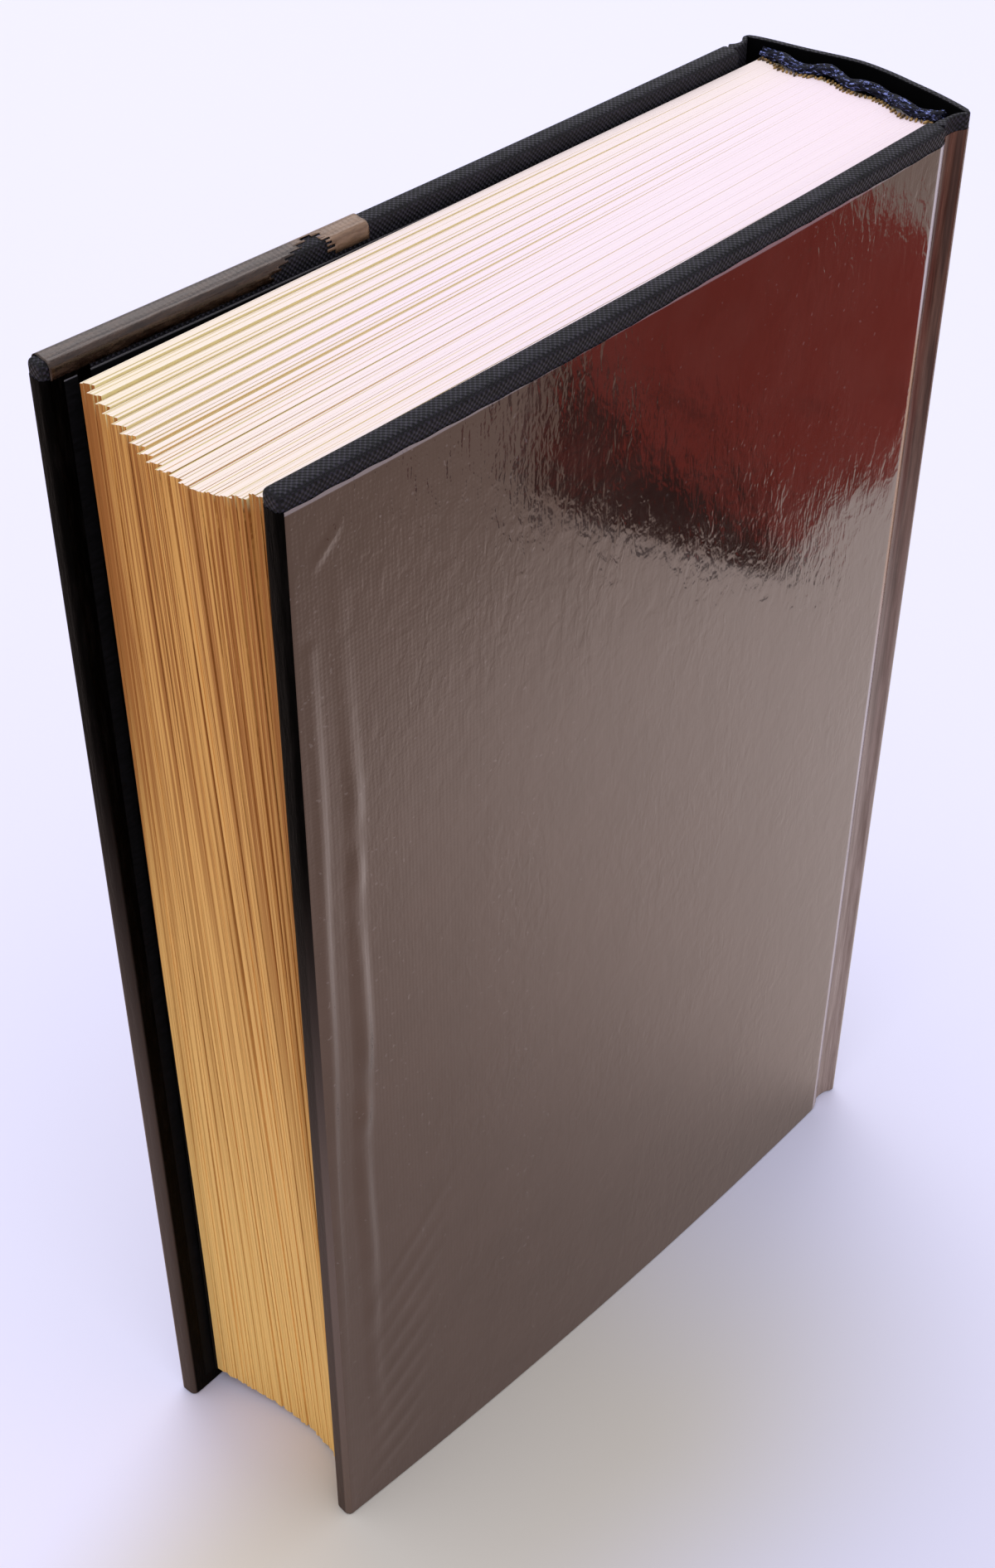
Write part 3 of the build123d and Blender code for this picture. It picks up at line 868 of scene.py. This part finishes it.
for vertex in leaf.data.vertices:
    depth, up = head_wrap[round(vertex.co.z)]
    if up < book_height - 2.2:
        up -= abs(0.12 * sin(vertex.co.x * 0.8))
    vertex.co = front.at(vertex.co.x, depth, up)
face_out(leaf, 60)
press(leaf, "SOLIDIFY", thickness=0.06 * MM, offset=0.0)
flap.on(leaf, "clear_film")
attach(leaf, "front_cover")

# ---------------------------------------------------------------------------
# Spine inlay: the strip of card that stiffens the hollow back. Only its finish is made here. It
# is bent to the spine's line in the next section, where it has slumped with the cloth.
# ---------------------------------------------------------------------------
card = Finish("card", roughness=0.85)
where = card.place()
pressed = card.noise(where, 1.1, 4.0, 0.65)
card.feed(
    base_color=card.blend(pressed.rise(0.3, 0.7), (0.30, 0.27, 0.23), (0.44, 0.40, 0.345)),
    normal=card.relief(pressed, 0.08),
)

# ---------------------------------------------------------------------------
# Spine and joints: the same cloth over the card, pressed into a groove along each side, where it
# is the hinge of the cover. The film goes over it from cover to cover. Each is made as a strip
# for the back and one for each joint, because only the joints bend.
# ---------------------------------------------------------------------------
groove_radius, groove_angle = 2.2, 45.3
shoulder_x, shoulder_y, shoulder_radius = 151.6, 21.55, 1.5
crown_x, crown_radius, crown_angle = 104.52, 53.28, 24.6


def slumped(points):
    """The same line, pushed out at the back cover's shoulder and in a little beside the front's."""
    moved = []
    for x, y in points:
        share = min(max((x - hinge_x + 0.8) / 2.4, 0.0), 1.0)
        share *= share * (3 - 2 * share)
        fuller = 1.6 * min(max((-9 - y) / 13, 0.0), 1.0) ** 1.3
        flatter = 1.1 * hump(y, 12, 11.5)
        moved.append((x + (fuller - flatter) * share, y))
    return moved


class Line:
    """A line in plan, followed by distance along it, with a depth to its right."""

    def __init__(self, points):
        self.points = np.array(points, float)
        steps = np.diff(self.points, axis=0)
        self.lengths = np.concatenate([[0], np.cumsum(np.hypot(steps[:, 0], steps[:, 1]))])
        self.long = self.lengths[-1]
        slopes = np.gradient(self.points, axis=0)
        slopes /= np.hypot(slopes[:, 0], slopes[:, 1])[:, None]
        self.inwards = np.stack([slopes[:, 1], -slopes[:, 0]], axis=1)

    def at(self, along, depth, up):
        x, y = (np.interp(along, self.lengths, self.points[:, n]) for n in (0, 1))
        nx, ny = (np.interp(along, self.lengths, self.inwards[:, n]) for n in (0, 1))
        return placed(float(x + depth * nx), float(y + depth * ny), up)


def joint_line(side, begin):
    """From the cover, round the groove and over the shoulder, on one side."""
    groove = arc(hinge_x, hinge_y, groove_radius, begin, -groove_angle, 12)
    shoulder = arc(shoulder_x, shoulder_y, shoulder_radius, 180 - groove_angle, 80, 7)[1:]
    return [(x, side * y) for x, y in groove + shoulder]


def sheet_on(name, line, depth_low, depth_high, foot, head, spacing, rounding, filled=0):
    """A sheet laid on a line in plan, between two depths and two heights.

    It is fuller inside where it leaves a board, at its start or, with filled below 0, at its end.
    """
    sheet = box_of_stuff(name, (0, depth_low, foot), (line.long, depth_high, head))
    if rounding:
        press(sheet, "BEVEL", width=rounding, segments=3, limit_method="ANGLE")
    score(sheet, 0, np.arange(spacing, line.long - spacing * 0.4, spacing))
    score(sheet, 2, [12, 48, 96, 144, 192, 228])
    if filled:
        for vertex in sheet.data.vertices:
            gone = vertex.co.x if filled > 0 else line.long - vertex.co.x
            if vertex.co.y > 0.5:
                vertex.co.y += 1.9 * max(0.0, 1 - gone / 2.6) ** 2
    lay(sheet, line.at)
    face_out(sheet, 50)
    return sheet


# Over the joints the film is painted brown, a painted reflection of the brown card, and paler towards the
# tail as a painted reflection of the pale floor.
joint_reflection_film = Finish("joint_film_painted_reflection", roughness=0.2, ior=1.4)
where = joint_reflection_film.place()
qx, qy, qz = joint_reflection_film.axes(where)
smear = joint_reflection_film.noise(joint_reflection_film.vector(qx * 0.8, qy * 0.8, qz * 0.035), 1.0, 4.0, 0.65)
paler = 1.0 - (qz - 30.0).rise(0.0, 190.0)
# Painted reflection: brown from the card, paler near the foot from the floor.
deep_brown = joint_reflection_film.blend(paler, (0.040, 0.013, 0.008), (0.20, 0.135, 0.11))
light_brown = joint_reflection_film.blend(paler, (0.115, 0.048, 0.030), (0.34, 0.255, 0.22))
painted_reflection_browns = joint_reflection_film.blend(smear.rise(0.35, 0.65), deep_brown, light_brown)
joint_reflection_film.feed(base_color=painted_reflection_browns, roughness=0.15 + smear * 0.2)
for side, sign in (("front", 1), ("back", -1)):
    start = placed(hinge_x + groove_radius, sign * hinge_y, 0)
    end = placed(hinge_x - 1.6, sign * hinge_y, 0)
    for kind, begin, depths, foot, head, rounding, finish, slot in (
        ("cloth", -144, (0.1, 1.0), 0, book_height, 0.3, cloth, "book_cloth"),
        ("film", -141, (0.0, 0.1), film_foot, film_head, 0, joint_reflection_film, "clear_film"),
    ):
        points = slumped(joint_line(sign, begin))
        line = Line(points if sign > 0 else points[::-1])
        strip = sheet_on(f"{side}_joint_{kind}", line, *depths, foot, head, 0.5, rounding, sign)
        finish.on(strip, slot)
        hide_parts(f"spine_{kind}")
        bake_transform(strip)

# Inside the hollow the cloth is painted near black, as painted shade where little light reaches.
hollow_shade_cloth = Finish("hollow_painted_shade", roughness=0.95, specular_ior_level=0.05)
shade_mottle = hollow_shade_cloth.noise(hollow_shade_cloth.place(), 0.8, 3.0)
painted_hollow_shade = hollow_shade_cloth.blend(shade_mottle, (0.0004, 0.0004, 0.0006), (0.0016, 0.0014, 0.0020))
hollow_shade_cloth.feed(base_color=painted_hollow_shade)
for kind, begin, depths, foot, head, rounding, finish, slot in (
    ("inlay", 30, (0.6, 1.1), 0.6, book_height - 0.6, 0, card, "card"),
    ("cloth", 92, (0.1, 1.5), 0, book_height, 0.35, cloth, "book_cloth"),
    ("film", 92, (0.0, 0.1), film_foot, film_head, 0, film, "clear_film"),
):
    shoulder = arc(shoulder_x, shoulder_y, shoulder_radius, begin, crown_angle, 8)
    crown = arc(crown_x, 0, crown_radius, crown_angle, -crown_angle, 40)[1:-1]
    across_back = slumped(shoulder + crown + [(x, -y) for x, y in shoulder[::-1]])
    spine = sheet_on(f"spine_{kind}", Line(across_back), *depths, foot, head, 1.2, rounding)
    finish.on(spine, slot)
    if kind == "cloth":
        # Faces turned into the hollow get the painted shade.
        spine.data.materials.append(hollow_shade_cloth.material)
        for face in spine.data.polygons:
            if face.normal.x < -0.3:
                face.material_index = 1
    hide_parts(f"spine_{kind}")
    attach(spine, "text_block")

# ---------------------------------------------------------------------------
# Floor, light and camera: a pale floor with a painted shadow along the book's near side, soft light
# from above and behind, and a red and a brown card lying out of view. The cards show only in
# reflections, as in the glossy film. In reflections the floor itself is painted warmer and darker.
# ---------------------------------------------------------------------------
let_go()
bpy.ops.mesh.primitive_plane_add(size=6, location=(0, 0, 0))
floor = bpy.context.object
floor.name = "floor"
ground = Finish("pale_floor", roughness=0.9, specular_ior_level=0.1)
where = ground.place()
gx, gy, gz = ground.axes(where)
# Painted shadow: the floor is painted warm grey along the book's near side.
painted_floor_shadow = (gx + 190.0).rise(0.0, 80.0) * (1.0 - (gx + 30.0).rise(0.0, 90.0))
painted_floor_shadow = painted_floor_shadow * (gy + 115.0).rise(0.0, 65.0) * (1.0 - (gy + 20.0).rise(0.0, 40.0))
shown = ground.blend(painted_floor_shadow, (0.78, 0.765, 0.95), (0.71, 0.66, 0.60))
# In reflections the floor takes a warmer, darker painted colour: painted reflection.
mirrored = ground.node("ShaderNodeLightPath", out="Is Glossy Ray")
painted_reflected_floor = ground.blend((gx + 60.0).rise(0.0, 260.0), (0.66, 0.53, 0.48), (1.0, 0.89, 0.85))
painted_reflected_floor = ground.blend((-150.0 - gy).rise(0.0, 130.0), painted_reflected_floor, (0.55, 0.44, 0.39))
ground.feed(base_color=ground.blend(mirrored, shown, painted_reflected_floor))
floor.data.materials.append(ground.material)

let_go()
card_edge = (
    (226, -157), (216, -185), (208, -209), (202, -227), (196, -241), (201, -251), (227, -272), (262, -300),
    (300, -340), (450, -340), (448, -276), (440, -255), (440, -200), (400, -120), (330, -140), (288, -155),
    (271, -162), (248, -160),
)
bpy.ops.mesh.primitive_circle_add(vertices=len(card_edge), radius=1, fill_type="NGON")
red_card = bpy.context.object
red_card.name = "red_card"
for vertex, (x, y) in zip(red_card.data.vertices, card_edge):
    vertex.co = (x * MM, y * MM, 1.0 * MM)
red = Finish("dark_red_card", roughness=1.0)
where = red.place()
rx, ry, rz = red.axes(where)
mottle = red.noise(red.vector(rx, ry * 0.6 + rx * 0.4, rz), 0.034, 4.0, 0.6, 0.6)
tone = mottle + (rx - 215.0).rise(0.0, 90.0) * 0.30 - 0.17
red.feed(base_color=red.blend(tone.rise(0.36, 0.54), (0.050, 0.012, 0.009), (0.44, 0.062, 0.045)))
red_card.data.materials.append(red.material)

brown_card = box_of_stuff("brown_card", (190, -620, 0.5), (620, -342, 1.0))
for vertex in brown_card.data.vertices:
    vertex.co *= MM
dun = Finish("brown_card", roughness=1.0)
dun_tone = dun.noise(dun.place(), 0.02, 2.0)
dun.feed(base_color=dun.blend(dun_tone, (0.10, 0.045, 0.03), (0.40, 0.19, 0.13)))
brown_card.data.materials.append(dun.material)
for piece in (red_card, brown_card):
    for ray in ("camera", "diffuse", "shadow", "transmission", "volume_scatter"):
        setattr(piece, "visible_" + ray, False)

world = bpy.data.worlds.new("soft_room")
bpy.context.scene.world = world
world.use_nodes = True
world.node_tree.nodes["Background"].inputs["Color"].default_value = (0.93, 0.94, 1.0, 1)
world.node_tree.nodes["Background"].inputs["Strength"].default_value = 0.84

for name, spot, size, watts in (
    ("window_light", (0.7, 0.9, 1.9), 1.6, 13.0),
    ("ceiling_light", (-0.2, -0.2, 1.9), 1.6, 7.0),
):
    lamp = bpy.data.lights.new(name, "AREA")
    lamp.shape = "DISK"
    lamp.size = size
    lamp.energy = watts
    lamp.color = (1.0, 0.98, 0.99)
    holder = bpy.data.objects.new(name, lamp)
    holder.location = spot
    holder.rotation_euler = (Vector((0, 0, 0.1)) - Vector(spot)).to_track_quat("-Z", "Y").to_euler()
    bpy.context.scene.collection.objects.link(holder)

lens = bpy.data.cameras.new("camera")
lens.lens = 53.75
lens.sensor_width = 36
lens.clip_start = 0.01
camera = bpy.data.objects.new("camera", lens)
camera.location = (-0.24005, -0.21658, 0.4099)
camera.rotation_euler = Vector((0.546, 0.517, -0.659)).to_track_quat("-Z", "Y").to_euler()
bpy.context.scene.collection.objects.link(camera)
bpy.context.scene.camera = camera
bpy.context.scene.view_settings.view_transform = "Standard"
